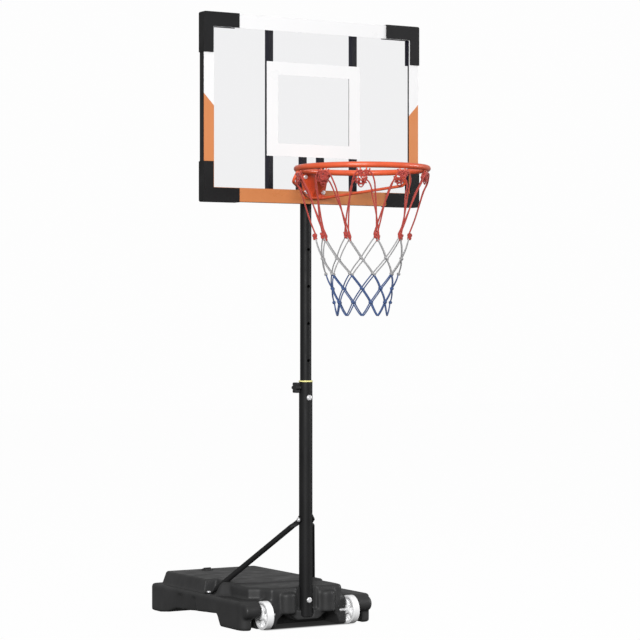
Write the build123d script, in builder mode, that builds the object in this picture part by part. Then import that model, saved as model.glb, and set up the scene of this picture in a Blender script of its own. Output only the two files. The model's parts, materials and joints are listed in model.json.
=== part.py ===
from build123d import *
import math
import os

# Portable basketball hoop. Millimetres, +Z up, the board faces -Y.
# The origin is on the floor, in the middle of the whole object's footprint box.

# ---------------------------------------------------------------- driving dimensions

pole_y = -33.0
clearance = 0.2

# base tank
base_half_width = 212.0
base_front_y = pole_y - 12.0
base_back_y = pole_y + 552.0
front_corner_r = 26.0
back_corner_r = 16.0
ledge_z = 80.0
deck_z = 117.0
deck_left_x = -182.0
deck_right_x = 117.0
deck_back_y = pole_y + 510.0
deck_front_z = 113.0
deck_step_y = pole_y + 107.0
bulge_top_z = 98.0
knuckle_inner_x = 152.5
foot_inner_x = 178.0
tank_wall = 5.0

# wheels
wheel_x = 138.0
wheel_y = pole_y - 9.0
wheel_r = 40.0
wheel_width = 21.0
hub_width = 26.0
hub_r = 11.5
axle_r = 4.0
running_gap = 0.05
well_half_width = 14.5
well_r = 46.0

# poles
lower_pole_r = 19.0
lower_pole_bore_r = 17.4
lower_pole_bottom_z = 29.0
lower_pole_top_z = 684.0
upper_pole_r = 16.0
upper_pole_bore_r = 14.5
upper_pole_bottom_z = 620.0
upper_pole_top_z = 1262.0
top_hole_z = 1054.0
hole_pitch = 103.5
hole_count = 5
height_bolt_z = top_hole_z - (hole_count - 1) * hole_pitch
clamp_z = 668.0
foot_bolt_z = 75.0
brace_top_z = 299.0
bolt_r = 4.0

# backboard
board_width = 690.0
board_height = 512.0
board_bottom_z = 1180.0
board_top_z = board_bottom_z + board_height
board_front_y = pole_y - 45.0
panel_thickness = 4.0
rail_size = 20.0
rail_wall = 1.5
strut_width = 15.0
long_strut_x = 135.0
short_strut_x = 28.0
crossbar_z = 1318.0
film_thickness = 0.4
border_side = 31.0
border_top = 38.0
guard_wall = 2.0
guard_front = 3.5
guard_arm = 110.0
guard_side_cover = 28.0
guard_end_cover = 37.0

# rim and net
rim_radius = 176.0
rim_tube_r = 8.0
rim_y = pole_y - 302.0
rim_z = 1263.0
rim_bolt_low_z = 1212.0
rim_bolt_high_z = 1254.0
hook_count = 10
hook_start_deg = 30.5
net_drop = 397.0

# places that several pieces share
panel_back_y = board_front_y + panel_thickness
rail_back_y = panel_back_y + rail_size
board_mid_z = board_bottom_z + board_height / 2
rim_bolt_rows = (rim_bolt_low_z, rim_bolt_high_z)
rim_bolt_places = [(x, z) for z in rim_bolt_rows for x in (-short_strut_x, short_strut_x)]

os.makedirs("parts", exist_ok=True)


def save(piece, name):
    """Label one finished piece and write its STEP file."""
    piece.label = name
    export_step(piece, f"parts/{name}.step")


def side_plane(x, y, z, side=1):
    """A plane that looks out along +X or -X."""
    return Plane(origin=(x, y, z), x_dir=(0, 1, 0), z_dir=(side, 0, 0))


def front_plane(y, z=0.0):
    """A plane facing -Y, with its own x to the right and its own y up."""
    return Plane(origin=(0, y, z), x_dir=(1, 0, 0), z_dir=(0, -1, 0))


# the rim's tube, which the pieces welded to it are cut back to
rim_tube = Pos(0, rim_y, rim_z) * Torus(rim_radius, rim_tube_r)


# ---------------------------------------------------------------- base

def tank_slab():
    """The low slab whose top is the ledge."""
    with BuildPart() as slab:
        with BuildSketch(Plane.XY) as outline:
            with Locations((0, (base_front_y + base_back_y) / 2)):
                Rectangle(2 * base_half_width, base_back_y - base_front_y)
            fillet(outline.vertices().group_by(Axis.Y)[0], front_corner_r)
            fillet(outline.vertices().group_by(Axis.Y)[-1], back_corner_r)
        extrude(amount=ledge_z)
        fillet(slab.faces().sort_by(Axis.Z)[-1].edges(), 9)
        fillet(slab.faces().sort_by(Axis.Z)[0].edges(), 5)
    return slab.part


def raised_deck():
    """The rear deck, with sloped sides."""
    with BuildPart() as deck:
        with BuildSketch(Plane.XY.offset(deck_z)) as outline:
            with BuildLine():
                Polyline(
                    (deck_left_x, deck_back_y),
                    (deck_right_x, deck_back_y),
                    (deck_right_x, deck_step_y - 4),
                    (-98, deck_step_y),
                    (-152, deck_step_y + 26),
                    (deck_left_x, deck_step_y + 60),
                    close=True,
                )
            make_face()
            fillet(outline.vertices(), 8)
        extrude(amount=ledge_z - deck_z - 14, taper=-19)
        fillet(deck.faces().sort_by(Axis.Z)[-1].edges(), 4)
    return deck.part


def brace_valley():
    """The valley across the left side of the deck that the left brace comes down."""
    with BuildPart() as valley:
        with BuildSketch(Plane.XY.offset(ledge_z)):
            with Locations((-199, pole_y + 211)):
                Rectangle(84, 66)
        extrude(amount=60, taper=-18)
        fillet(valley.faces().sort_by(Axis.Z)[0].edges().sort_by(Axis.X)[-1], 8)
    return valley.part


def front_block():
    """The block in front of the deck, with a shoulder over the left wheel."""
    with BuildPart() as block:
        with BuildSketch(Plane.XY.offset(deck_front_z)) as outline:
            with BuildLine():
                Polyline(
                    (-164, deck_step_y + 60),
                    (-164, pole_y + 40),
                    (-134, pole_y + 24),
                    (-113, base_front_y + 2),
                    (113, base_front_y + 2),
                    (deck_right_x, pole_y + 24),
                    (deck_right_x, deck_step_y + 60),
                    close=True,
                )
            make_face()
            fillet(outline.vertices(), 10)
        extrude(amount=ledge_z - deck_front_z - 30, taper=-3)
        top_edges = block.faces().sort_by(Axis.Z)[-1].edges()
        fillet(top_edges, 9)
    return block.part


def front_bulges():
    """Two upright half-round swellings of the front wall, one on each side of the pole."""
    with BuildPart() as bulges:
        for side in (-1, 1):
            with BuildSketch(Plane.XY.offset(40)):
                with Locations((side * 64, base_front_y + 8)):
                    Circle(26)
            extrude(amount=bulge_top_z - 40)
        fillet(bulges.faces().group_by(Axis.Z)[-1].edges(), 7)
    return bulges.part


def axle_knuckles():
    """Rounded knuckles that hold the outer ends of the two axles."""
    with BuildPart() as knuckles:
        for side in (-1, 1):
            with BuildSketch(side_plane(side * knuckle_inner_x, pole_y - 7, 53, side)):
                Circle(21)
            extrude(amount=204 - knuckle_inner_x)
        fillet(knuckles.edges().filter_by(GeomType.CIRCLE), 8)
    return knuckles.part


def pole_pocket():
    """The upright pocket, open in front, that the lower pole stands in."""
    with BuildPart() as pocket:
        with BuildSketch(Plane.XY.offset(lower_pole_bottom_z)):
            with Locations((0, pole_y)):
                Circle(lower_pole_r + clearance)
            with Locations((0, pole_y - 40)):
                Rectangle(2 * (lower_pole_r + clearance), 80)
        extrude(amount=deck_z)
        with BuildSketch(Plane.XY.offset(46)):
            with Locations((0, pole_y - 34)):
                Rectangle(68, 60)
        extrude(amount=deck_z)
        uprights = pocket.edges().filter_by(Axis.Z).filter_by_position(Axis.Y, pole_y - 6, pole_y - 2)
        fillet([uprights.sort_by(Axis.X)[0], uprights.sort_by(Axis.X)[-1]], 3)
    return pocket.part


def front_arches():
    """The two wide arches under the front wall, with a hanging tongue between them."""
    half = [(34, 20), (52, 33), (64, 38), (79, 38), (94, 27), (104, 4), (105, -12)]
    with BuildPart() as arches:
        with BuildSketch(front_plane(base_front_y - 40)) as outline:
            with BuildLine():
                Polyline(*[(-x, z) for x, z in reversed(half)], *half, close=True)
            make_face()
            fillet(outline.vertices().filter_by_position(Axis.Y, 22, 40), 6)
        extrude(amount=-130)
    return arches.part


def side_gap():
    """The raised stretch of the underside between the front and rear feet."""
    with BuildPart() as gap:
        with BuildSketch(Plane.YZ.offset(-base_half_width - 20)):
            with BuildLine():
                Polyline(
                    (pole_y + 114, -10),
                    (pole_y + 114, 0),
                    (pole_y + 135, 34),
                    (pole_y + 385, 21),
                    (pole_y + 436, 6),
                    (pole_y + 492, 0),
                    (pole_y + 492, -10),
                    close=True,
                )
            make_face()
        extrude(amount=2 * base_half_width + 40)
        fillet(gap.edges().filter_by(Axis.X).filter_by_position(Axis.Z, 10, 40), 10)
    return gap.part


def side_panels():
    """Shallow upright hollows moulded in both side walls."""
    with BuildPart() as panels:
        for side in (-1, 1):
            for y, radius, reach in ((pole_y + 272, 26, 4), (pole_y + 358, 60, 4)):
                with BuildSketch(Plane.XY.offset(-1)):
                    with Locations((side * (base_half_width + radius - reach), y)):
                        Circle(radius)
                extrude(amount=ledge_z - 10)
        fillet(panels.faces().group_by(Axis.Z)[-1].edges(), 8)
    return panels.part


def tank_cavity(inset=0.0, water_only=False):
    """The room inside the tank: a low room under the ledge, a rear sump, and rooms under the deck."""
    low_z = 40.0 + inset
    mid_z = ledge_z - 8.0
    back_y = base_back_y - 9.0
    with BuildPart() as cavity:
        with BuildSketch(Plane.XY.offset(low_z)):
            with Locations((0, (pole_y + 140 + back_y) / 2)):
                Rectangle(396 - 2 * inset, back_y - pole_y - 140 - 2 * inset)
        extrude(amount=mid_z - low_z - inset)
        with BuildSketch(Plane.XY.offset(tank_wall + inset)):
            with Locations((0, (pole_y + 500 + back_y) / 2)):
                Rectangle(380 - 2 * inset, back_y - pole_y - 500 - 2 * inset)
        extrude(amount=45)
        if not water_only:
            with BuildSketch(Plane.XY.offset(low_z)):
                with Locations(((deck_left_x + deck_right_x) / 2, pole_y + 384)):
                    Rectangle(deck_right_x - deck_left_x - 14, 238)
                with Locations((-10, pole_y + 205)):
                    Rectangle(240, 130)
            extrude(amount=deck_front_z - 6 - low_z)
            with BuildSketch(Plane.XY.offset(low_z + 5)):
                with Locations((0, pole_y + 108)):
                    Rectangle(220, 80)
                for side in (-1, 1):
                    with Locations((side * 72, pole_y + 40)):
                        Rectangle(76, 84)
            extrude(amount=deck_front_z - 11 - low_z)
            with BuildSketch(Plane.XY.offset(low_z)):
                for side in (-1, 1):
                    with Locations((side * 182, pole_y + 92)):
                        Rectangle(42, 100)
            extrude(amount=mid_z - low_z)
            with BuildSketch(Plane.XY.offset(low_z)):
                with Locations(((deck_left_x + deck_right_x) / 2, pole_y + 384)):
                    Rectangle(deck_right_x - deck_left_x - 14, 238)
            extrude(amount=deck_z - tank_wall - low_z)
    return cavity.part


cap_x = -62.0
cap_y = pole_y + 474.0
cap_r = 16.0
neck_r = 13.0
cap_seat_z = deck_z - 5.0

with BuildPart() as base_tank:
    add(tank_slab())
    add(raised_deck())
    add(front_block())
    add(front_bulges())
    add(axle_knuckles())
    add(brace_valley(), mode=Mode.SUBTRACT)
    add(pole_pocket(), mode=Mode.SUBTRACT)
    add(front_arches(), mode=Mode.SUBTRACT)
    add(side_gap(), mode=Mode.SUBTRACT)
    add(side_panels(), mode=Mode.SUBTRACT)
    for side in (-1, 1):
        with BuildSketch(side_plane(side * (wheel_x - well_half_width), wheel_y, wheel_r, side)):
            Circle(well_r)
            with Locations((-30, -30)):
                Rectangle(100, 60)
        extrude(amount=2 * well_half_width, mode=Mode.SUBTRACT)
        with BuildSketch(front_plane(base_front_y - 40)):
            with Locations((side * (knuckle_inner_x + foot_inner_x) / 2, 6)):
                RectangleRounded(foot_inner_x - knuckle_inner_x + 2, 54, 8)
        extrude(amount=-96, mode=Mode.SUBTRACT)
        with BuildSketch(side_plane(side * 104, wheel_y, wheel_r, side)):
            Circle(axle_r)
        extrude(amount=76, mode=Mode.SUBTRACT)
    add(tank_cavity(), mode=Mode.SUBTRACT)
    with BuildSketch(Plane.XY.offset(deck_z - 16)):
        with Locations((cap_x, cap_y)):
            Circle(cap_r + 9)
    extrude(amount=14)
    with BuildSketch(Plane.XY.offset(cap_seat_z)):
        with Locations((cap_x, cap_y)):
            Circle(cap_r + 4)
    extrude(amount=20, mode=Mode.SUBTRACT)
    with BuildSketch(Plane.XY.offset(deck_z - 30)):
        with Locations((cap_x, cap_y)):
            Circle(neck_r + 0.4)
    extrude(amount=60, mode=Mode.SUBTRACT)
    with BuildSketch(front_plane(pole_y, foot_bolt_z)):
        Circle(bolt_r + clearance)
    extrude(amount=-50, mode=Mode.SUBTRACT)
save(base_tank.part, "base_tank")

with BuildPart() as water_ballast:
    add(tank_cavity(inset=0.5, water_only=True))
save(water_ballast.part, "water_ballast")

with BuildPart() as fill_cap:
    with BuildSketch(Plane.XY.offset(cap_seat_z + 2.5)):
        with Locations((cap_x, cap_y)):
            Circle(cap_r)
    extrude(amount=6)
    fillet(fill_cap.faces().sort_by(Axis.Z)[-1].edges(), 2)
    with BuildSketch(Plane.XY.offset(cap_seat_z - 14)):
        with Locations((cap_x, cap_y)):
            Circle(neck_r)
            Circle(neck_r - 2, mode=Mode.SUBTRACT)
    extrude(amount=16.5)
    with BuildSketch(Plane.XY.offset(cap_seat_z + 8.5)):
        with Locations((cap_x, cap_y)):
            Rectangle(22, 5)
    extrude(amount=3)
save(fill_cap.part, "fill_cap")

with BuildPart() as cap_seal:
    with BuildSketch(Plane.XY.offset(cap_seat_z + 0.1)):
        with Locations((cap_x, cap_y)):
            Circle(cap_r - 0.5)
            Circle(neck_r + 0.2, mode=Mode.SUBTRACT)
    extrude(amount=2.4)
save(cap_seal.part, "cap_seal")


# ---------------------------------------------------------------- wheels

def make_wheel(side):
    """A moulded wheel: tread, dished web with five windows, five ribs and a long hub."""
    with BuildPart() as wheel:
        with BuildSketch(side_plane(side * wheel_x, wheel_y, wheel_r, side)):
            Circle(wheel_r)
            Circle(wheel_r - 8, mode=Mode.SUBTRACT)
        extrude(amount=wheel_width / 2, both=True)
        fillet(wheel.edges().filter_by(GeomType.CIRCLE), 2.4)
        with BuildSketch(side_plane(side * wheel_x, wheel_y, wheel_r, side)):
            Circle(wheel_r - 7)
        extrude(amount=2, both=True)
        with BuildSketch(side_plane(side * wheel_x, wheel_y, wheel_r, side)):
            with PolarLocations(21, 5):
                Rectangle(26, 6)
        extrude(amount=7, both=True)
        with BuildSketch(side_plane(side * wheel_x, wheel_y, wheel_r, side)):
            with PolarLocations(22, 5, start_angle=36):
                Circle(6.5)
        extrude(amount=8, both=True, mode=Mode.SUBTRACT)
        with BuildSketch(side_plane(side * wheel_x, wheel_y, wheel_r, side)):
            Circle(hub_r)
        extrude(amount=hub_width / 2, both=True)
        with BuildSketch(side_plane(side * wheel_x, wheel_y, wheel_r, side)):
            Circle(axle_r + running_gap)
        extrude(amount=hub_width, both=True, mode=Mode.SUBTRACT)
    return wheel.part


def make_axle(side):
    """A plain steel pin, pressed into the tank on both sides of the wheel."""
    with BuildPart() as axle:
        with BuildSketch(side_plane(side * 104.5, wheel_y, wheel_r, side)):
            Circle(axle_r)
        extrude(amount=75)
        chamfer(axle.edges().filter_by(GeomType.CIRCLE), 0.8)
    return axle.part


for side, word in ((-1, "left"), (1, "right")):
    save(make_wheel(side), f"wheel_{word}")
    save(make_axle(side), f"wheel_axle_{word}")


# ---------------------------------------------------------------- poles

with BuildPart() as lower_pole:
    with BuildSketch(Plane.XY.offset(lower_pole_bottom_z)):
        with Locations((0, pole_y)):
            Circle(lower_pole_r)
            Circle(lower_pole_bore_r, mode=Mode.SUBTRACT)
    extrude(amount=lower_pole_top_z - lower_pole_bottom_z)
    for z in (foot_bolt_z, height_bolt_z):
        with BuildSketch(front_plane(pole_y, z)):
            Circle(bolt_r + clearance)
        extrude(amount=30, both=True, mode=Mode.SUBTRACT)
    with BuildSketch(side_plane(0, pole_y, brace_top_z)):
        Circle(3 + clearance)
    extrude(amount=30, both=True, mode=Mode.SUBTRACT)
    with BuildSketch(side_plane(0, pole_y, clamp_z, -1)):
        Circle(bolt_r + clearance)
    extrude(amount=30, mode=Mode.SUBTRACT)
save(lower_pole.part, "lower_pole")

with BuildPart() as pole_foot_plug:
    with BuildSketch(Plane.XY.offset(lower_pole_bottom_z)):
        with Locations((0, pole_y)):
            Circle(lower_pole_bore_r)
    extrude(amount=18)
    with BuildSketch(Plane.XY.offset(lower_pole_bottom_z + 3)):
        with Locations((0, pole_y)):
            Circle(lower_pole_bore_r - 2.5)
    extrude(amount=20, mode=Mode.SUBTRACT)
save(pole_foot_plug.part, "pole_foot_plug")

with BuildPart() as pole_bush:
    with BuildSketch(Plane.XY.offset(lower_pole_top_z)):
        with Locations((0, pole_y)):
            Circle(lower_pole_r + 0.6)
            Circle(upper_pole_r + 0.3, mode=Mode.SUBTRACT)
    extrude(amount=4)
    fillet(pole_bush.faces().sort_by(Axis.Z)[-1].edges().sort_by(SortBy.RADIUS)[-1], 1.2)
    with BuildSketch(Plane.XY.offset(lower_pole_top_z - 10)):
        with Locations((0, pole_y)):
            Circle(lower_pole_bore_r)
            Circle(upper_pole_r + 0.3, mode=Mode.SUBTRACT)
    extrude(amount=10)
save(pole_bush.part, "pole_bush")

with BuildPart() as upper_pole:
    with BuildSketch(Plane.XY.offset(upper_pole_bottom_z)):
        with Locations((0, pole_y)):
            Circle(upper_pole_r)
            Circle(upper_pole_bore_r, mode=Mode.SUBTRACT)
    extrude(amount=upper_pole_top_z - upper_pole_bottom_z)
    for step in range(hole_count):
        with BuildSketch(front_plane(pole_y, top_hole_z - step * hole_pitch)):
            Circle(bolt_r + 0.5)
        extrude(amount=30, both=True, mode=Mode.SUBTRACT)
    for z in (1222, 1246):
        with BuildSketch(front_plane(pole_y, z)):
            Circle(3 + clearance)
        extrude(amount=30, both=True, mode=Mode.SUBTRACT)
save(upper_pole.part, "upper_pole")

with BuildPart() as pole_top_cap:
    with BuildSketch(Plane.XY.offset(upper_pole_top_z)):
        with Locations((0, pole_y)):
            Circle(upper_pole_r)
    extrude(amount=3)
    fillet(pole_top_cap.faces().sort_by(Axis.Z)[-1].edges(), 1.5)
    with BuildSketch(Plane.XY.offset(upper_pole_top_z - 10)):
        with Locations((0, pole_y)):
            Circle(upper_pole_bore_r)
            Circle(upper_pole_bore_r - 2, mode=Mode.SUBTRACT)
    extrude(amount=10)
save(pole_top_cap.part, "pole_top_cap")


def pan_head(plane, radius, height):
    """A low domed head that stands on a plane."""
    with BuildPart() as head:
        with BuildSketch(plane):
            Circle(radius)
        extrude(amount=height)
        fillet(head.faces().sort_by(Axis(plane.origin, plane.z_dir))[-1].edges(), height * 0.7)
    return head.part


def shank(plane, radius, length):
    """A plain round shank that runs back into a plane."""
    with BuildPart() as rod:
        with BuildSketch(plane):
            Circle(radius)
        extrude(amount=-length)
    return rod.part


def hex_nut(plane, across, height, hole_r):
    """A hexagon nut that stands on a plane."""
    with BuildPart() as nut:
        with BuildSketch(plane):
            RegularPolygon(across / 2, 6, major_radius=False)
            Circle(hole_r, mode=Mode.SUBTRACT)
        extrude(amount=height)
    return nut.part


pole_front_y = pole_y - lower_pole_r
pole_rear = Plane(origin=(0, pole_y + lower_pole_r, height_bolt_z), x_dir=(1, 0, 0), z_dir=(0, 1, 0))
short_shank = lower_pole_r - upper_pole_r - 0.8

with BuildPart() as height_bolt:
    add(pan_head(front_plane(pole_front_y, height_bolt_z), 8, 4.5))
    add(shank(front_plane(pole_front_y, height_bolt_z), bolt_r, short_shank))
save(height_bolt.part, "height_bolt")

with BuildPart() as height_nut:
    add(hex_nut(pole_rear, 13, 6.5, 0.6))
    add(shank(pole_rear, bolt_r, short_shank))
save(height_nut.part, "height_nut")

with BuildPart() as foot_bolt:
    add(pan_head(front_plane(pole_front_y, foot_bolt_z), 8, 4.5))
    add(shank(front_plane(pole_front_y, foot_bolt_z), bolt_r, 66))
save(foot_bolt.part, "foot_bolt")

# Clamp: a nut welded to the lower pole, a threaded stud and its star knob, on the -X side.
nut_outer_x = -24.0
knob_depth = 13.0

with BuildPart() as clamp_nut:
    with BuildSketch(side_plane(-lower_pole_r + 3, pole_y, clamp_z, -1)):
        Circle(8)
        Circle(bolt_r + running_gap, mode=Mode.SUBTRACT)
    extrude(amount=-lower_pole_r + 3 - nut_outer_x)
    with BuildSketch(Plane.XY.offset(clamp_z - 20)):
        with Locations((0, pole_y)):
            Circle(lower_pole_r)
    extrude(amount=40, mode=Mode.SUBTRACT)
save(clamp_nut.part, "clamp_nut")

with BuildPart() as clamp_stud:
    with BuildSketch(side_plane(-upper_pole_r - 0.6, pole_y, clamp_z, -1)):
        Circle(bolt_r)
    extrude(amount=-nut_outer_x + knob_depth - 3 - upper_pole_r - 0.6)
save(clamp_stud.part, "clamp_stud")

with BuildPart() as clamp_knob:
    with BuildSketch(side_plane(nut_outer_x - 0.4, pole_y, clamp_z, -1)):
        Circle(11)
        with PolarLocations(11.5, 6):
            Circle(4.6)
    extrude(amount=knob_depth)
    fillet(clamp_knob.faces().sort_by(Axis.X)[0].edges(), 1.6)
    with BuildSketch(side_plane(nut_outer_x - 0.4, pole_y, clamp_z, -1)):
        Circle(bolt_r)
    extrude(amount=knob_depth - 3.4, mode=Mode.SUBTRACT)
save(clamp_knob.part, "clamp_knob")


# ---------------------------------------------------------------- braces

brace_tube_r = 7.8
brace_feet = {-1: (-187.0, pole_y + 226.0), 1: (167.0, pole_y + 249.0)}
tab_thickness = 3.0
tab_width = 18.0
screw_r = 3.0


def make_brace(side):
    """A tube with both ends pressed flat: one lies on the pole, one on the ledge."""
    tab_x = lower_pole_r + 0.6 + tab_thickness / 2
    top_hole = Vector(side * tab_x, pole_y, brace_top_z)
    foot_x, foot_y = brace_feet[side]
    low_hole = Vector(foot_x, foot_y, ledge_z + 0.2 + tab_thickness / 2)
    run = low_hole - top_hole
    top_dir = Vector(0, run.Y, run.Z).normalized()
    low_dir = Vector(run.X, run.Y, 0).normalized()
    tube_start = top_hole + top_dir * 30 + Vector(side * 12, 0, 0)
    tube_end = low_hole - low_dir * 26 + Vector(0, 0, 14)
    tube_dir = (tube_end - tube_start).normalized()
    top_tab = Plane(origin=top_hole + top_dir * 12, x_dir=(side, 0, 0), z_dir=top_dir)
    top_circle = Plane(origin=tube_start, x_dir=(side, 0, 0), z_dir=tube_dir)
    low_circle = Plane(origin=tube_end, x_dir=(0, 0, 1), z_dir=tube_dir)
    low_tab = Plane(origin=low_hole - low_dir * 11, x_dir=(0, 0, 1), z_dir=low_dir)
    with BuildPart() as brace:
        with BuildSketch(top_circle):
            Circle(brace_tube_r)
        extrude(amount=(tube_end - tube_start).length)
        with BuildSketch(top_tab):
            RectangleRounded(tab_thickness, tab_width, 1.2)
        with BuildSketch(top_circle):
            Circle(brace_tube_r)
        loft()
        with BuildSketch(low_circle):
            Circle(brace_tube_r)
        with BuildSketch(low_tab):
            RectangleRounded(tab_thickness, tab_width, 1.2)
        loft()
        with BuildSketch(top_tab):
            RectangleRounded(tab_thickness, tab_width, 1.2)
        extrude(amount=-21)
        with BuildSketch(low_tab):
            RectangleRounded(tab_thickness, tab_width, 1.2)
        extrude(amount=20)
        with BuildSketch(Plane(origin=top_hole, z_dir=(side, 0, 0))):
            Circle(screw_r + clearance)
        extrude(amount=6, both=True, mode=Mode.SUBTRACT)
        with BuildSketch(Plane(origin=low_hole, z_dir=(0, 0, 1))):
            Circle(screw_r + clearance)
        extrude(amount=6, both=True, mode=Mode.SUBTRACT)
    return brace.part


for side, word in ((-1, "left"), (1, "right")):
    save(make_brace(side), f"brace_{word}")

with BuildPart() as brace_top_screws:
    for side in (-1, 1):
        head_plane = side_plane(side * (lower_pole_r + 0.6 + tab_thickness), pole_y, brace_top_z, side)
        add(pan_head(head_plane, 6.5, 4))
        add(shank(head_plane, screw_r, lower_pole_r + 0.6 + tab_thickness - upper_pole_r - 0.8))
save(brace_top_screws.part, "brace_top_screws")

with BuildPart() as brace_foot_screws:
    for foot_x, foot_y in brace_feet.values():
        head_plane = Plane(origin=(foot_x, foot_y, ledge_z + 0.2 + tab_thickness), z_dir=(0, 0, 1))
        add(pan_head(head_plane, 6, 3.5))
        add(shank(head_plane, screw_r, tab_thickness + 0.2))
save(brace_foot_screws.part, "brace_foot_screws")


# ---------------------------------------------------------------- backboard

def rail(x0, x1, z0, z1, upright):
    """A square steel tube behind the panel, running along X or Z."""
    plane = Plane.XY.offset(z0) if upright else side_plane(x0, 0, 0)
    with BuildPart() as bar:
        with BuildSketch(plane):
            if upright:
                with Locations(((x0 + x1) / 2, panel_back_y + rail_size / 2)):
                    Rectangle(x1 - x0, rail_size)
                    Rectangle(x1 - x0 - 2 * rail_wall, rail_size - 2 * rail_wall, mode=Mode.SUBTRACT)
            else:
                with Locations((panel_back_y + rail_size / 2, (z0 + z1) / 2)):
                    Rectangle(rail_size, z1 - z0)
                    Rectangle(rail_size - 2 * rail_wall, z1 - z0 - 2 * rail_wall, mode=Mode.SUBTRACT)
        extrude(amount=z1 - z0 if upright else x1 - x0)
    return bar.part


half_board = board_width / 2
save(rail(-half_board, half_board, board_top_z - rail_size, board_top_z, False), "frame_rail_top")
save(rail(-half_board, half_board, board_bottom_z, board_bottom_z + rail_size, False), "frame_rail_bottom")

inner_low_z = board_bottom_z + rail_size
inner_high_z = board_top_z - rail_size
for side, word in ((-1, "left"), (1, "right")):
    outer = side * half_board
    inner = side * (half_board - rail_size)
    save(rail(min(outer, inner), max(outer, inner), inner_low_z, inner_high_z, True), f"frame_rail_{word}")
    strut_edge = side * long_strut_x - strut_width / 2
    save(rail(strut_edge, strut_edge + strut_width, inner_low_z, inner_high_z, True), f"strut_long_{word}")
    short_edge = side * short_strut_x - strut_width / 2
    with BuildPart() as short_strut:
        add(rail(short_edge, short_edge + strut_width, inner_low_z, crossbar_z, True))
        for z in (rim_bolt_low_z, rim_bolt_high_z):
            with BuildSketch(Plane(origin=(side * short_strut_x, rail_back_y, z), z_dir=(0, -1, 0))):
                Circle(screw_r + clearance)
            extrude(amount=30, both=True, mode=Mode.SUBTRACT)
    save(short_strut.part, f"strut_short_{word}")

crossbar_end = long_strut_x - strut_width / 2
save(rail(-crossbar_end, crossbar_end, crossbar_z, crossbar_z + strut_width, False), "frame_crossbar")

with BuildPart() as backboard_panel:
    with BuildSketch(front_plane(panel_back_y, board_mid_z)):
        RectangleRounded(board_width, board_height, 6)
    extrude(amount=panel_thickness)
    for x, z in rim_bolt_places:
        with BuildSketch(Plane(origin=(x, panel_back_y, z), z_dir=(0, -1, 0))):
            Circle(screw_r + clearance)
        extrude(amount=10, both=True, mode=Mode.SUBTRACT)
save(backboard_panel.part, "backboard_panel")

side_orange_outer_z = board_top_z - 220 - board_mid_z
side_orange_inner_z = board_top_z - 253 - board_mid_z
inner_border_x = half_board - border_side
low_edge = -board_height / 2


with BuildPart() as border_print_orange:
    with BuildSketch(front_plane(board_front_y, board_mid_z)):
        with BuildLine():
            Polyline(
                (-half_board, low_edge),
                (half_board, low_edge),
                (half_board, side_orange_outer_z),
                (inner_border_x, side_orange_inner_z),
                (inner_border_x, low_edge + border_top),
                (-inner_border_x, low_edge + border_top),
                (-inner_border_x, side_orange_inner_z),
                (-half_board, side_orange_outer_z),
                close=True,
            )
        make_face()
        with Locations([(x, z - board_mid_z) for x, z in rim_bolt_places]):
            Circle(screw_r + clearance, mode=Mode.SUBTRACT)
    extrude(amount=film_thickness)
save(border_print_orange.part, "border_print_orange")

with BuildPart() as border_print_white:
    with BuildSketch(front_plane(board_front_y, board_mid_z)):
        with BuildLine():
            Polyline(
                (-half_board, side_orange_outer_z),
                (-half_board, board_height / 2),
                (half_board, board_height / 2),
                (half_board, side_orange_outer_z),
                (inner_border_x, side_orange_inner_z),
                (inner_border_x, board_height / 2 - border_top),
                (-inner_border_x, board_height / 2 - border_top),
                (-inner_border_x, side_orange_inner_z),
                close=True,
            )
        make_face()
    extrude(amount=film_thickness)
save(border_print_white.part, "border_print_white")

target_width = 300.0
target_height = 260.0
target_band = 35.5
target_mid_z = board_bottom_z + 129 + target_height / 2

with BuildPart() as target_print:
    with BuildSketch(front_plane(board_front_y, target_mid_z)):
        Rectangle(target_width, target_height)
        Rectangle(target_width - 2 * target_band, target_height - 2 * target_band, mode=Mode.SUBTRACT)
    extrude(amount=film_thickness)
save(target_print.part, "target_print")


def make_guard(side, up):
    """A corner guard: an L of plastic channel that wraps the panel and the frame."""
    corner_x = side * (half_board + guard_wall)
    corner_z = board_height / 2 + guard_wall
    end_half = (guard_end_cover + guard_wall) / 2
    side_half = (guard_side_cover + guard_wall) / 2
    front_y = board_front_y - film_thickness - guard_front
    depth = rail_back_y + guard_wall - front_y
    with BuildPart() as guard:
        with BuildSketch(front_plane(rail_back_y + guard_wall, board_mid_z)):
            with Locations((corner_x - side * guard_arm / 2, up * (corner_z - end_half))):
                Rectangle(guard_arm, 2 * end_half)
            with Locations((corner_x - side * side_half, up * (corner_z - guard_arm / 2))):
                Rectangle(2 * side_half, guard_arm)
        extrude(amount=depth)
        outward = guard.edges().filter_by(Axis.Y).sort_by(lambda e: side * e.center().X + up * e.center().Z)
        fillet(outward[-1], 5)
        with BuildSketch(front_plane(rail_back_y, board_mid_z)):
            Rectangle(board_width, board_height)
        extrude(amount=rail_back_y - board_front_y + film_thickness, mode=Mode.SUBTRACT)
    return guard.part


for up, height_word in ((1, "top"), (-1, "bottom")):
    for side, word in ((-1, "left"), (1, "right")):
        save(make_guard(side, up), f"corner_guard_{height_word}_{word}")

mast_plate_thickness = pole_y - upper_pole_r - rail_back_y

with BuildPart() as mast_plate:
    with BuildSketch(front_plane(rail_back_y + mast_plate_thickness, sum(rim_bolt_rows) / 2)):
        RectangleRounded(84, 66, 6)
    extrude(amount=mast_plate_thickness)
    for x, z in rim_bolt_places:
        with BuildSketch(Plane(origin=(x, rail_back_y, z), z_dir=(0, -1, 0))):
            Circle(screw_r + clearance)
        extrude(amount=10, both=True, mode=Mode.SUBTRACT)
    for z in (1222, 1246):
        with BuildSketch(front_plane(rail_back_y, z)):
            Circle(screw_r + clearance)
        extrude(amount=10, both=True, mode=Mode.SUBTRACT)
save(mast_plate.part, "mast_plate")

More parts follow.
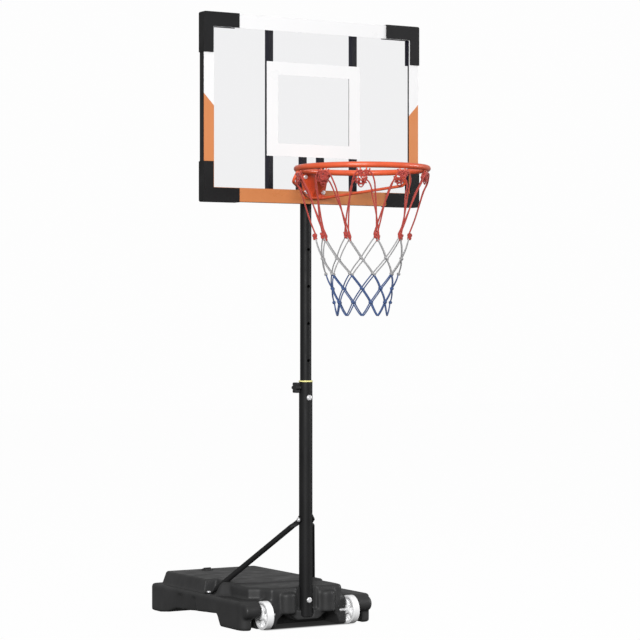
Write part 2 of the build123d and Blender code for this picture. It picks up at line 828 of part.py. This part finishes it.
with BuildPart() as mast_bolts:
    for z in (1222, 1246):
        head_plane = Plane(origin=(0, pole_y + upper_pole_r, z), x_dir=(1, 0, 0), z_dir=(0, 1, 0))
        add(pan_head(head_plane, 6, 3.5))
        add(shank(head_plane, screw_r, 2 * upper_pole_r + mast_plate_thickness + 7))
save(mast_bolts.part, "mast_bolts")

with BuildPart() as mast_nuts:
    for z in (1222, 1246):
        add(hex_nut(front_plane(rail_back_y, z), 10, 5, screw_r))
save(mast_nuts.part, "mast_nuts")


# ---------------------------------------------------------------- rim

with BuildPart() as rim_ring:
    with Locations((0, rim_y, rim_z)):
        Torus(rim_radius, rim_tube_r)
save(rim_ring.part, "rim_ring")

plate_thickness = 3.0
plate_front_y = board_front_y - film_thickness - plate_thickness
plate_top_half = 42.0
plate_low_half = 31.0
plate_bottom_z = 1193.0
plate_top_z = rim_z + 4.0

with BuildPart() as rim_bracket:
    with BuildSketch(front_plane(board_front_y - film_thickness)):
        with BuildLine():
            Polyline(
                (-plate_low_half, plate_bottom_z),
                (plate_low_half, plate_bottom_z),
                (plate_top_half, plate_top_z - 20),
                (plate_top_half, plate_top_z),
                (-plate_top_half, plate_top_z),
                (-plate_top_half, plate_top_z - 20),
                close=True,
            )
        make_face()
    extrude(amount=plate_thickness)
    with BuildSketch(Plane.XY.offset(plate_top_z)):
        with BuildLine():
            Polyline(
                (-plate_top_half, plate_front_y + plate_thickness),
                (plate_top_half, plate_front_y + plate_thickness),
                (plate_top_half, rim_y + rim_radius + 6),
                (plate_top_half - 8, rim_y + rim_radius - 6),
                (-plate_top_half + 8, rim_y + rim_radius - 6),
                (-plate_top_half, rim_y + rim_radius + 6),
                close=True,
            )
        make_face()
    extrude(amount=-plate_thickness)
    with BuildSketch(Plane.XY.offset(plate_top_z - 2)):
        with Locations((0, (plate_front_y + rim_y + rim_radius + rim_tube_r) / 2)):
            Rectangle(2 * short_strut_x - 16, plate_front_y - rim_y - rim_radius - rim_tube_r)
    with BuildSketch(Plane.XY.offset(plate_bottom_z + 8)):
        with Locations((0, plate_front_y - 1)):
            Rectangle(14, 2)
    loft()
    with BuildSketch(Plane.XY.offset(plate_top_z - plate_thickness)):
        with Locations((0, (plate_front_y + rim_y + rim_radius + rim_tube_r) / 2 + 2)):
            Rectangle(2 * short_strut_x - 22, plate_front_y - rim_y - rim_radius - rim_tube_r - 4)
    with BuildSketch(Plane.XY.offset(plate_bottom_z + 13)):
        with Locations((0, plate_front_y - 0.5)):
            Rectangle(9, 1)
    loft(mode=Mode.SUBTRACT)
    add(rim_tube, mode=Mode.SUBTRACT)
    for x, z in rim_bolt_places:
        with BuildSketch(Plane(origin=(x, board_front_y, z), z_dir=(0, -1, 0))):
            Circle(screw_r + clearance)
        extrude(amount=10, both=True, mode=Mode.SUBTRACT)
save(rim_bracket.part, "rim_bracket")

wire_r = 4.0
wire_root_z = plate_bottom_z + 3
wire_bend_z = rim_z - 36
wire_bend_y = rim_y + 64
wire_end_y = rim_y + 54
wire_end_x = math.sqrt(rim_radius**2 - (wire_end_y - rim_y) ** 2)


def make_wire(side):
    """Half of the bent support wire, from the bracket's foot out to the rim's underside."""
    root_y = plate_front_y - wire_r
    with BuildPart() as wire:
        with BuildLine() as path:
            FilletPolyline(
                (0, root_y, wire_root_z),
                (side * 22, root_y, wire_root_z),
                (side * (rim_radius + 2), wire_bend_y, wire_bend_z),
                (side * wire_end_x, wire_end_y, rim_z - rim_tube_r + 1),
                radius=14,
            )
        with BuildSketch(Plane(origin=path.line @ 0, z_dir=path.line % 0)):
            Circle(wire_r)
        sweep()
        add(rim_tube, mode=Mode.SUBTRACT)
    return wire.part


for side, word in ((-1, "left"), (1, "right")):
    save(make_wire(side), f"rim_wire_{word}")

hook_wire_r = 2.0
hook_half = 8.0

hook_rim_tube = Pos(0, 0, rim_z) * Torus(rim_radius, rim_tube_r)

with BuildPart() as one_hook:
    with BuildLine() as hook_path:
        FilletPolyline(
            (-hook_half, -rim_radius, rim_z - rim_tube_r + 1.5),
            (-hook_half, -rim_radius, rim_z - rim_tube_r - 11),
            (hook_half, -rim_radius, rim_z - rim_tube_r - 11),
            (hook_half, -rim_radius, rim_z - rim_tube_r + 1.5),
            radius=5,
        )
    with BuildSketch(Plane(origin=hook_path.line @ 0, z_dir=hook_path.line % 0)):
        Circle(hook_wire_r)
    sweep()
    add(hook_rim_tube, mode=Mode.SUBTRACT)

with BuildPart() as net_hooks:
    for step in range(hook_count):
        turn = -(hook_start_deg + 360 / hook_count * step)
        add(Pos(0, rim_y, 0) * Rot(0, 0, turn) * one_hook.part)
save(net_hooks.part, "net_hooks")

net_wall = 1.5
net_profile = [(168, 22), (128, 184), (97, 283), (75, 359), (68, net_drop)]

with BuildPart() as net:
    with BuildSketch(Plane.XZ.offset(-rim_y)):
        with BuildLine():
            outer = [(r, rim_z - drop) for r, drop in net_profile]
            inner = [(r - net_wall, z) for r, z in reversed(outer)]
            Polyline(*outer, *inner, close=True)
        make_face()
    revolve(axis=Axis((0, rim_y, 0), (0, 0, 1)))
save(net.part, "net")

with BuildPart() as rim_bolts:
    for x, z in rim_bolt_places:
        head_plane = Plane(origin=(x, plate_front_y, z), z_dir=(0, -1, 0))
        add(pan_head(head_plane, 6.5, 4))
        add(shank(head_plane, screw_r, rail_back_y + mast_plate_thickness - plate_front_y + 7))
save(rim_bolts.part, "rim_bolts")

with BuildPart() as rim_nuts:
    for x, z in rim_bolt_places:
        nut_plane = Plane(origin=(x, rail_back_y + mast_plate_thickness, z), z_dir=(0, 1, 0))
        add(hex_nut(nut_plane, 10, 5, screw_r))
save(rim_nuts.part, "rim_nuts")
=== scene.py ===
import json
import math

import bpy
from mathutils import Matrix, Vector


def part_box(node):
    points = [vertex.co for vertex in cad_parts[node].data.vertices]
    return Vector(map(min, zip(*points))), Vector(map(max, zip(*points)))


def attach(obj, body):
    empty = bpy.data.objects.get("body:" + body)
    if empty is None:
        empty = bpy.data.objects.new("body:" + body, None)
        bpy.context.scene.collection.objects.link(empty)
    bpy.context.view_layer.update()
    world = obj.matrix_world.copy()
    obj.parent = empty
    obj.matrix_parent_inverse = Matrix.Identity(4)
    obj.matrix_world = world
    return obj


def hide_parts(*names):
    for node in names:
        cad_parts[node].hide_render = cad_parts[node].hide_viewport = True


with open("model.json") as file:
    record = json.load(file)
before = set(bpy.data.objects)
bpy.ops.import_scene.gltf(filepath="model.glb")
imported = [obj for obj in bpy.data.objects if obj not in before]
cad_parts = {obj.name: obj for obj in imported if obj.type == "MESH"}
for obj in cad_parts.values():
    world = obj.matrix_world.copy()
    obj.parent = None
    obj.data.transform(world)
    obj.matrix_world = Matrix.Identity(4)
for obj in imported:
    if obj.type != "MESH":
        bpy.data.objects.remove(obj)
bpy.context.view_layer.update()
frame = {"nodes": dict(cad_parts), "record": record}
MM = 0.001

# ---------------------------------------------------------------- places read from the frame


def middle(node):
    """The middle of a CAD node's box."""
    low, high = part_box(node)
    return (Vector(low) + Vector(high)) / 2


POLE = middle("upper_pole")
RIM = middle("rim_ring")
rim_low, rim_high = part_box("rim_ring")
RIM_OUTER_R = (rim_high[0] - rim_low[0]) / 2
RIM_TUBE_R = (rim_high[2] - rim_low[2]) / 2
# the hooks' bars stand 2 mm above the lowest point of their node
HOOK_BAR_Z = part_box("net_hooks")[0][2] + 2 * MM
NET_LOW_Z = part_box("net")[0][2]

# ---------------------------------------------------------------- camera, light and floor

CAMERA_SIDE = -3.234
CAMERA_BACK = -5.569
CAMERA_HEIGHT = 0.857
CAMERA_TURN = -30.5
LENS_MM = 129.4

# name, place, the point it looks at, width and power
LIGHTS = (
    ("key", (-3.4, -4.6, 2.5), (0, 0, 0.8), 2.4, 340),
    ("fill", (4.6, -2.4, 2.0), (0, 0, 0.9), 2.2, 110),
    ("top", (0, 0.4, 4.6), (0, 0, 0), 3.6, 12),
)

# strength of the world's light, from below the object and from the sides and above
WORLD_LOW = 0.03
WORLD_HIGH = 0.36
WORLD_LOW_Z = -0.6
WORLD_HIGH_Z = 0.1
BACKDROP = 0.985

FLOOR_HALF = 14.0
FLOOR_GLOW = 0.975
# the painted contact shadow on the floor between the base's front feet: how far behind the pole,
# half its sizes, softness, and the floor's glow inside it
PAINTED_SHADOW_BACK = 0.046
PAINTED_SHADOW_HALF = (0.135, 0.066, 1)
PAINTED_SHADOW_SOFT = (("X", 0.12), ("Y", 0.2))
PAINTED_SHADOW_GLOW = 0.02


def map_range(tree, value, source, target):
    """A node that maps value from one range to another and holds it at the ends."""
    node = tree.nodes.new("ShaderNodeMapRange")
    node.inputs["From Min"].default_value = source[0]
    node.inputs["From Max"].default_value = source[1]
    node.inputs["To Min"].default_value = target[0]
    node.inputs["To Max"].default_value = target[1]
    tree.links.new(value, node.inputs["Value"])
    return node


def make_camera():
    """A long lens, level, from the left of the board's front."""
    data = bpy.data.cameras.new("camera")
    camera = bpy.data.objects.new("camera", data)
    bpy.context.scene.collection.objects.link(camera)
    data.sensor_width = 36
    data.lens = LENS_MM
    data.clip_end = 60
    camera.location = (POLE.x + CAMERA_SIDE, POLE.y + CAMERA_BACK, CAMERA_HEIGHT)
    camera.rotation_euler = (math.radians(90), 0, math.radians(CAMERA_TURN))
    bpy.context.scene.camera = camera


def area_light(name, place, target, size, power):
    """A square soft light that looks at a point."""
    data = bpy.data.lights.new(name, "AREA")
    data.size = size
    data.energy = power
    lamp = bpy.data.objects.new(name, data)
    lamp.location = place
    lamp.rotation_euler = (Vector(target) - Vector(place)).to_track_quat("-Z", "Y").to_euler()
    bpy.context.scene.collection.objects.link(lamp)


def make_world():
    """White as a backdrop; as light, soft from the sides and above and dim from below."""
    world = bpy.data.worlds.new("studio")
    bpy.context.scene.world = world
    world.use_nodes = True
    tree = world.node_tree
    background = tree.nodes["Background"]
    background.inputs["Color"].default_value = (1, 1, 1, 1)
    coords = tree.nodes.new("ShaderNodeTexCoord")
    parts = tree.nodes.new("ShaderNodeSeparateXYZ")
    tree.links.new(coords.outputs["Generated"], parts.inputs["Vector"])
    light = map_range(
        tree, parts.outputs["Z"], (WORLD_LOW_Z, WORLD_HIGH_Z), (WORLD_LOW, WORLD_HIGH)
    )
    path = tree.nodes.new("ShaderNodeLightPath")
    strength = map_range(tree, path.outputs["Is Camera Ray"], (0, 1), (0, BACKDROP))
    tree.links.new(light.outputs["Result"], strength.inputs["To Min"])
    tree.links.new(strength.outputs["Result"], background.inputs["Strength"])


def make_floor():
    """A white floor with a painted soft contact shadow between the front feet of the base."""
    mesh = bpy.data.meshes.new("floor")
    corners = [(-1, -1), (1, -1), (1, 1), (-1, 1)]
    mesh.from_pydata([(x * FLOOR_HALF, y * FLOOR_HALF, 0) for x, y in corners], [], [(0, 1, 2, 3)])
    floor = bpy.data.objects.new("floor", mesh)
    bpy.context.scene.collection.objects.link(floor)
    floor.visible_diffuse = False
    floor.visible_glossy = False
    material = bpy.data.materials.new("floor_white_painted_shadow")
    material.use_nodes = True
    tree = material.node_tree
    shader = tree.nodes["Principled BSDF"]
    shader.inputs["Base Color"].default_value = (0.02, 0.02, 0.02, 1)
    shader.inputs["Roughness"].default_value = 1.0
    shader.inputs["Specular IOR Level"].default_value = 0.0
    shader.inputs["Emission Color"].default_value = (1, 1, 1, 1)
    # painted shadow: a soft box under the base's front where the floor's glow is turned down
    coords = tree.nodes.new("ShaderNodeTexCoord")
    painted_shadow = tree.nodes.new("ShaderNodeMapping")
    painted_shadow.vector_type = "TEXTURE"
    painted_shadow.inputs["Location"].default_value = (POLE.x, POLE.y + PAINTED_SHADOW_BACK, 0)
    painted_shadow.inputs["Scale"].default_value = PAINTED_SHADOW_HALF
    parts = tree.nodes.new("ShaderNodeSeparateXYZ")
    tree.links.new(coords.outputs["Object"], painted_shadow.inputs["Vector"])
    tree.links.new(painted_shadow.outputs["Vector"], parts.inputs["Vector"])
    outside_painted_shadow = tree.nodes.new("ShaderNodeMath")
    outside_painted_shadow.operation = "MAXIMUM"
    for number, (axis, soft) in enumerate(PAINTED_SHADOW_SOFT):
        distance = tree.nodes.new("ShaderNodeMath")
        distance.operation = "ABSOLUTE"
        tree.links.new(parts.outputs[axis], distance.inputs[0])
        edge = map_range(tree, distance.outputs["Value"], (1 - soft, 1 + soft), (0, 1))
        tree.links.new(edge.outputs["Result"], outside_painted_shadow.inputs[number])
    # the floor's glow falls from its even white to a near-dark glow inside the painted shadow
    glow = map_range(tree, outside_painted_shadow.outputs["Value"], (0, 1), (PAINTED_SHADOW_GLOW, FLOOR_GLOW))
    tree.links.new(glow.outputs["Result"], shader.inputs["Emission Strength"])
    mesh.materials.append(material)


# ---------------------------------------------------------------- materials

class Finish:
    """A procedural material: a Principled shader and the nodes that feed it."""

    def __init__(self, name, color, roughness, **sockets):
        self.material = bpy.data.materials.new(name)
        self.material.use_nodes = True
        self.tree = self.material.node_tree
        self.shader = self.tree.nodes["Principled BSDF"]
        self.shader.inputs["Base Color"].default_value = (*color, 1)
        self.shader.inputs["Roughness"].default_value = roughness
        for socket, value in sockets.items():
            self.shader.inputs[socket.replace("_", " ")].default_value = value
        self.coords = self.tree.nodes.new("ShaderNodeTexCoord").outputs["Object"]
        self.last_normal = None

    def noise(self, scale, detail):
        """A noise pattern in the object's own space."""
        texture = self.tree.nodes.new("ShaderNodeTexNoise")
        texture.inputs["Scale"].default_value = scale
        texture.inputs["Detail"].default_value = detail
        self.tree.links.new(self.coords, texture.inputs["Vector"])
        return texture.outputs["Fac"]

    def cells(self, scale):
        """A pattern of rounded cells."""
        texture = self.tree.nodes.new("ShaderNodeTexVoronoi")
        texture.inputs["Scale"].default_value = scale
        self.tree.links.new(self.coords, texture.inputs["Vector"])
        return texture.outputs["Distance"]

    def vary_color(self, value, other, low=0.35, high=0.65):
        """The colour drifts from its own to another as value goes from low to high."""
        own = self.shader.inputs["Base Color"]
        mix = self.tree.nodes.new("ShaderNodeMix")
        mix.data_type = "RGBA"
        mix.inputs["A"].default_value = own.default_value
        mix.inputs["B"].default_value = (*other, 1)
        factor = map_range(self.tree, value, (low, high), (0, 1))
        self.tree.links.new(factor.outputs["Result"], mix.inputs["Factor"])
        self.tree.links.new(mix.outputs["Result"], own)

    def vary_roughness(self, value, smooth, rough):
        """The roughness follows a pattern."""
        level = map_range(self.tree, value, (0.3, 0.7), (smooth, rough))
        self.tree.links.new(level.outputs["Result"], self.shader.inputs["Roughness"])

    def bump(self, value, height, strength):
        """Adds relief of a height in metres."""
        node = self.tree.nodes.new("ShaderNodeBump")
        node.inputs["Distance"].default_value = height
        node.inputs["Strength"].default_value = strength
        self.tree.links.new(value, node.inputs["Height"])
        if self.last_normal:
            self.tree.links.new(self.last_normal, node.inputs["Normal"])
        self.last_normal = node.outputs["Normal"]
        self.tree.links.new(self.last_normal, self.shader.inputs["Normal"])


def near_black(level):
    """A black with a trace of blue."""
    return (level, level, level + 0.0005)


def pale(level):
    """A white or a grey with a trace of blue."""
    return (level, level, level + 0.005)


def powder_coat(name, color, lighter, roughness):
    """Black powder coat on steel: orange-peel relief, faint dust and handling marks."""
    finish = Finish(name, color, roughness, Specular_IOR_Level=0.2)
    finish.vary_color(finish.noise(9, 5), lighter)
    finish.vary_roughness(finish.noise(35, 4), roughness - 0.07, roughness + 0.1)
    finish.bump(finish.noise(900, 2), 0.00012, 0.5)
    finish.bump(finish.noise(160, 2), 0.0002, 0.25)
    return finish.material


def moulded_plastic(name, color, lighter, roughness, pebble, depth, shine=0.32):
    """Moulded plastic: pebble grain, flow clouds and dull scuffs."""
    finish = Finish(name, color, roughness, Specular_IOR_Level=shine)
    finish.vary_color(finish.noise(6, 6), lighter)
    finish.vary_roughness(finish.noise(22, 6), roughness - 0.08, roughness + 0.14)
    finish.bump(finish.cells(pebble), depth, 0.6)
    finish.bump(finish.noise(40, 3), depth * 3, 0.3)
    return finish.material


def zinc_plate():
    """Zinc-plated steel: bright, with fine turning marks and a dull bloom."""
    finish = Finish("zinc", (0.90, 0.90, 0.91), 0.28, Metallic=0.45)
    finish.vary_color(finish.noise(220, 4), (0.76, 0.76, 0.77))
    finish.vary_roughness(finish.noise(380, 4), 0.2, 0.42)
    finish.bump(finish.noise(1200, 2), 0.00005, 0.4)
    return finish.material


def rim_paint():
    """Orange powder coat: semi-gloss with a light orange peel."""
    orange = (0.80, 0.122, 0.042)
    finish = Finish("rim_orange", orange, 0.36, Coat_Weight=0.25, Coat_Roughness=0.2)
    finish.vary_color(finish.noise(14, 5), (0.67, 0.095, 0.033))
    finish.vary_roughness(finish.noise(50, 4), 0.28, 0.45)
    finish.bump(finish.noise(700, 2), 0.00012, 0.5)
    return finish.material


def printed_film(name, color, other):
    """A gloss printed film: even ink with a faint screen grain and soft ripples."""
    finish = Finish(name, color, 0.32)
    finish.vary_color(finish.noise(600, 2), other)
    finish.vary_roughness(finish.noise(12, 4), 0.25, 0.42)
    finish.bump(finish.noise(18, 2), 0.0003, 0.15)
    return finish.material


def clear_board():
    """Clear board: lets most of the light through, with a gloss and fine dust."""
    tint = (0.045, 0.045, 0.10)
    finish = Finish("clear_board", tint, 0.08, Alpha=0.062, Specular_IOR_Level=0.3)
    finish.vary_roughness(finish.noise(7, 5), 0.05, 0.16)
    finish.vary_color(finish.noise(3, 4), (0.055, 0.055, 0.12))
    finish.material.surface_render_method = "BLENDED"
    return finish.material


def clear_water():
    """Water: see-through, with a slow change of gloss."""
    finish = Finish("water", (0.6, 0.72, 0.78), 0.1, Alpha=0.4)
    finish.vary_roughness(finish.noise(12, 3), 0.05, 0.15)
    return finish.material


def braided_cord(name, color, darker):
    """Braided cord: crossing strands and a little fuzz."""
    finish = Finish(name, color, 0.72, Sheen_Weight=0.25, Sheen_Roughness=0.5)
    finish.vary_color(finish.noise(420, 2), darker, 0.4, 0.8)
    finish.bump(finish.cells(1500), 0.0003, 0.6)
    finish.bump(finish.noise(2600, 2), 0.0001, 0.4)
    return finish.material


def gloss_wheel():
    """Silver-white moulded wheel: pearl fleck, light scuffs."""
    white = (0.94, 0.94, 0.94)
    finish = Finish("wheel_silver", white, 0.22, Coat_Weight=0.4, Coat_Roughness=0.1)
    finish.vary_color(finish.noise(900, 2), (0.86, 0.86, 0.87))
    finish.vary_roughness(finish.noise(60, 5), 0.16, 0.4)
    finish.bump(finish.noise(240, 3), 0.0001, 0.3)
    return finish.material


CAP_BLACK = moulded_plastic("cap_black", near_black(0.018), near_black(0.025), 0.5, 1100, 0.0001)
CORD_RED = braided_cord("cord_red", (0.50, 0.05, 0.033), (0.27, 0.024, 0.017))
CORD_WHITE = braided_cord("cord_white", pale(0.40), pale(0.22))
CORD_BLUE = braided_cord("cord_blue", (0.045, 0.10, 0.27), (0.016, 0.04, 0.12))

SLOT_FINISH = {
    "base_plastic": moulded_plastic(
        "base_black", near_black(0.026), near_black(0.033), 0.45, 700, 0.00012, 0.3
    ),
    "water": clear_water(),
    "cap_plastic": CAP_BLACK,
    "seal_rubber": moulded_plastic(
        "seal_rubber", (0.012, 0.012, 0.012), (0.02, 0.02, 0.02), 0.8, 1400, 0.0001
    ),
    "wheel_plastic": gloss_wheel(),
    "zinc_steel": zinc_plate(),
    "pole_paint": powder_coat("pole_black", near_black(0.009), near_black(0.013), 0.5),
    "frame_paint": powder_coat("frame_black", near_black(0.014), near_black(0.019), 0.55),
    "bush_plastic": moulded_plastic(
        "bush_yellow", (0.92, 0.87, 0.36), (0.86, 0.80, 0.29), 0.4, 900, 0.00008
    ),
    "knob_plastic": CAP_BLACK,
    "clear_panel": clear_board(),
    "print_white": printed_film("print_white", pale(0.82), pale(0.80)),
    "print_orange": printed_film("print_orange", (0.63, 0.228, 0.08), (0.60, 0.215, 0.074)),
    "guard_plastic": moulded_plastic(
        "guard_black", near_black(0.009), near_black(0.013), 0.5, 900, 0.0001, 0.2
    ),
    "rim_paint": rim_paint(),
    "net_cord": CORD_RED,
}


def finish_nodes():
    """Every CAD node gets the finish of its slot."""
    for subpart in frame["record"]["subparts"]:
        materials = frame["nodes"][subpart["node"]].data.materials
        materials.clear()
        materials.append(SLOT_FINISH[subpart["material_slot"]])


# ---------------------------------------------------------------- tubes

TUBE_SIDES = 10


def smooth_path(points, per_span):
    """A Catmull-Rom line through the points."""
    points = [Vector(p) for p in points]
    ends = [2 * points[0] - points[1]] + points + [2 * points[-1] - points[-2]]
    path = []
    for i in range(1, len(ends) - 2):
        a, b, c, d = ends[i - 1:i + 3]
        for step in range(per_span):
            t = step / per_span
            path.append(0.5 * (2 * b + (c - a) * t + (2 * a - 5 * b + 4 * c - d) * t**2
                               + (3 * b - a - 3 * c + d) * t**3))
    path.append(points[-1])
    return path


class Tubes:
    """Round cords gathered into one mesh."""

    def __init__(self):
        self.verts = []
        self.faces = []

    def add(self, path, radius):
        """One cord along a path, closed at both ends."""
        first = len(self.verts)
        normal = None
        for i, point in enumerate(path):
            ahead = path[min(i + 1, len(path) - 1)] - path[max(i - 1, 0)]
            ahead.normalize()
            if normal is None:
                normal = ahead.orthogonal()
            normal = (normal - ahead * normal.dot(ahead)).normalized()
            across = ahead.cross(normal)
            for side in range(TUBE_SIDES):
                turn = 2 * math.pi * side / TUBE_SIDES
                offset = math.cos(turn) * normal + math.sin(turn) * across
                self.verts.append(point + radius * offset)
        for ring in range(len(path) - 1):
            for side in range(TUBE_SIDES):
                a = first + ring * TUBE_SIDES + side
                b = first + ring * TUBE_SIDES + (side + 1) % TUBE_SIDES
                self.faces.append((a, b, b + TUBE_SIDES, a + TUBE_SIDES))
        last = first + (len(path) - 1) * TUBE_SIDES
        self.faces.append(tuple(first + side for side in reversed(range(TUBE_SIDES))))
        self.faces.append(tuple(last + side for side in range(TUBE_SIDES)))

    def build(self, name, material):
        """The gathered cords as one object."""
        mesh = bpy.data.meshes.new(name)
        mesh.from_pydata([tuple(v) for v in self.verts], [], self.faces)
        mesh.materials.append(material)
        mesh.shade_smooth()
        piece = bpy.data.objects.new(name, mesh)
        bpy.context.scene.collection.objects.link(piece)
        return piece


# ---------------------------------------------------------------- net

NET_LOOPS = 10
HALF_STEP = 180 / NET_LOOPS
# the first hook's angle from the front towards -X, and the turn of the knots against the hooks
HOOK_START = 30.5
NET_TWIST = 3.0
# depth below the rim's middle and radius of each row of knots, in mm
NET_ROWS = [(184, 125.5), (242, 110), (283, 97), (322, 83), (359, 75)]
CORD_R = 1.75 * MM
RED_CORD_R = 2.1 * MM

# where the hooks' bars are, in mm from the rim's middle
BAR_R = (RIM_OUTER_R - RIM_TUBE_R) / MM
BAR_DROP = (RIM.z - HOOK_BAR_Z) / MM
LOOP_DROP = (RIM.z - NET_LOW_Z) / MM - 3

# strands near a hook: sideways shift, depth below the bar and distance out from it, in mm
LOW_CROSS = [(17, -9, 1), (14, 0, 3), (5, 7, 4), (-5, 11, 3), (-11, 7, 1)]
HIGH_CROSS = [(15, 8, 1), (9, 2, 4), (0, -1, 5), (-8, 3, 4)]
SLACK_LOOP = [(-8, 9, 3), (-7, 14, 3), (0, 19, 3), (6, 14, 3), (8, 8, 3)]
TOP_BOW = [(3, -4, 5), (14, -2, 5), (23, 7, 4), (29, 24, 2), (31, 44, -4)]
# how fast the net narrows below the bars
TOP_TAPER = 0.22

# turns round a hook's bar: the shifts they start and end at, their number and their radius
WRAPS = ((-8, -3), (3, 8))
WRAP_TURNS = 2
WRAP_R = 4.4
WRAP_STEPS = 28

KNOT_STEPS = 14
KNOT_HEIGHT = 2.2


def net_point(angle, radius, drop, shift=0.0):
    """A point of the net, by its angle from the front towards -X, radius and depth in mm."""
    turn = math.radians(angle)
    out = Vector((-math.sin(turn), -math.cos(turn), 0))
    along = Vector((-math.cos(turn), math.sin(turn), 0))
    return RIM + out * radius * MM + along * shift * MM - Vector((0, 0, drop * MM))


def knot(tubes, angle, radius, drop, size, turns=2.5, cord=CORD_R):
    """A knot: cord wound round an upright core, with a tucked end across it."""
    steps = int(turns * KNOT_STEPS)
    path = []
    for i in range(steps + 1):
        part = i / steps
        turn = 2 * math.pi * turns * part
        swell = size * (0.72 + 0.28 * math.sin(math.pi * part))
        place = net_point(angle, radius, drop + size * KNOT_HEIGHT * (part - 0.5))
        path.append(place + swell * MM * Vector((math.cos(turn), math.sin(turn), 0)))
    tubes.add(path, cord)
    across = [
        net_point(angle, radius + size, drop + size, -size),
        net_point(angle, radius + size * 1.5, drop, 0),
        net_point(angle, radius + size, drop - size, size),
    ]
    tubes.add(smooth_path(across, 5), cord)


def hook_strand(tubes, hook, places, way, cord):
    """A strand near a hook, mirrored when way is -1."""
    path = [
        net_point(hook, BAR_R + out, BAR_DROP + drop, way * shift) for shift, drop, out in places
    ]
    tubes.add(smooth_path(path, 6), cord)


def hook_tie(tubes, hook):
    """What hangs on a hook: turns round its bar, strands that cross below, a slack loop."""
    for first, last in WRAPS:
        path = []
        for i in range(WRAP_STEPS + 1):
            part = i / WRAP_STEPS
            turn = 2 * math.pi * WRAP_TURNS * part
            out = BAR_R + WRAP_R * math.cos(turn)
            drop = BAR_DROP + WRAP_R * math.sin(turn)
            path.append(net_point(hook, out, drop, first + (last - first) * part))
        tubes.add(path, RED_CORD_R)
    for way in (-1, 1):
        hook_strand(tubes, hook, LOW_CROSS, way, RED_CORD_R)
        hook_strand(tubes, hook, HIGH_CROSS, way, RED_CORD_R)
    hook_strand(tubes, hook, SLACK_LOOP, 1, CORD_R)


def top_cord(tubes, hook, way):
    """The bowed cord from one hook to the knot on one side of it."""
    path = [
        net_point(hook, BAR_R + out - drop * TOP_TAPER, BAR_DROP + drop, way * shift)
        for shift, drop, out in TOP_BOW
    ]
    # from the end of the bow, nearly straight to just above the knot
    bow_shift, drop, out = TOP_BOW[-1]
    bow_r = BAR_R + out - drop * TOP_TAPER
    bow_angle = hook + math.degrees(way * bow_shift / bow_r)
    bow_drop = BAR_DROP + drop
    knot_drop, knot_r = NET_ROWS[0]
    knot_angle = hook + way * HALF_STEP + NET_TWIST
    for part in (0.33, 0.66, 1.0):
        path.append(net_point(
            bow_angle + (knot_angle - bow_angle) * part,
            bow_r + (knot_r - bow_r) * part + 3 * math.sin(math.pi * part),
            bow_drop + (knot_drop - 8 - bow_drop) * part,
            way * 3 * part,
        ))
    tubes.add(smooth_path(path, 6), RED_CORD_R)


def mesh_cord(tubes, start, end):
    """The cord from one knot to the next, a little bowed out."""
    path = []
    for i in range(5):
        part = i / 4
        angle, radius, drop = (a + (b - a) * part for a, b in zip(start, end))
        path.append(net_point(angle, radius + 1.5 * math.sin(math.pi * part), drop))
    tubes.add(smooth_path(path, 4), CORD_R)


def bottom_loop(tubes, angle):
    """The loop that hangs between two of the lowest knots."""
    drop, radius = NET_ROWS[-1]
    path = []
    for part in (0, 0.2, 0.36, 0.45, 0.5, 0.55, 0.64, 0.8, 1):
        bow = 1 - abs(2 * part - 1) ** 1.35
        wide = (part - 0.5) * 2 * HALF_STEP
        path.append(net_point(angle + wide, radius - 5 * bow, drop + (LOOP_DROP - drop) * bow))
    tubes.add(smooth_path(path, 4), CORD_R)


def make_net():
    """The whole net: red from the hooks, white in the middle, blue below."""
    red = Tubes()
    white = Tubes()
    blue = Tubes()
    row_cords = (white, white, blue, blue)
    for loop in range(NET_LOOPS):
        hook = HOOK_START + loop * 2 * HALF_STEP
        hook_tie(red, hook)
        for way in (-1, 1):
            top_cord(red, hook, way)
        for row, (drop, radius) in enumerate(NET_ROWS):
            angle = hook + NET_TWIST + (HALF_STEP if row % 2 == 0 else 0)
            if row == 0:
                knot(red, angle, radius + 1, drop - 5, 4.0, 3, RED_CORD_R)
                knot(red, angle, radius, drop + 3, 3.2, 2, RED_CORD_R)
            else:
                knot(row_cords[row - 1], angle, radius, drop, 2.6)
            if row + 1 < len(NET_ROWS):
                next_drop, next_r = NET_ROWS[row + 1]
                for way in (-1, 1):
                    end = (angle + way * HALF_STEP, next_r, next_drop)
                    mesh_cord(row_cords[row], (angle, radius, drop), end)
        bottom_loop(blue, hook + NET_TWIST)
    pieces = [
        red.build("net_cords_red", CORD_RED),
        white.build("net_cords_white", CORD_WHITE),
        blue.build("net_cords_blue", CORD_BLUE),
    ]
    for piece in pieces:
        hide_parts("net")
        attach(piece, "mast")


# ---------------------------------------------------------------- base

def soften_base():
    """Rounds the moulded tank's edges, as blow moulding does."""
    tank = frame["nodes"]["base_tank"]
    remesh = tank.modifiers.new("even_mesh", "REMESH")
    remesh.mode = "VOXEL"
    remesh.voxel_size = 3.0 * MM
    remesh.use_smooth_shade = True
    smooth = tank.modifiers.new("blown_edges", "SMOOTH")
    smooth.iterations = 6
    smooth.factor = 0.5


make_camera()
make_world()
make_floor()
for light in LIGHTS:
    area_light(*light)
bpy.context.scene.view_settings.view_transform = "Standard"
finish_nodes()
make_net()
soften_base()
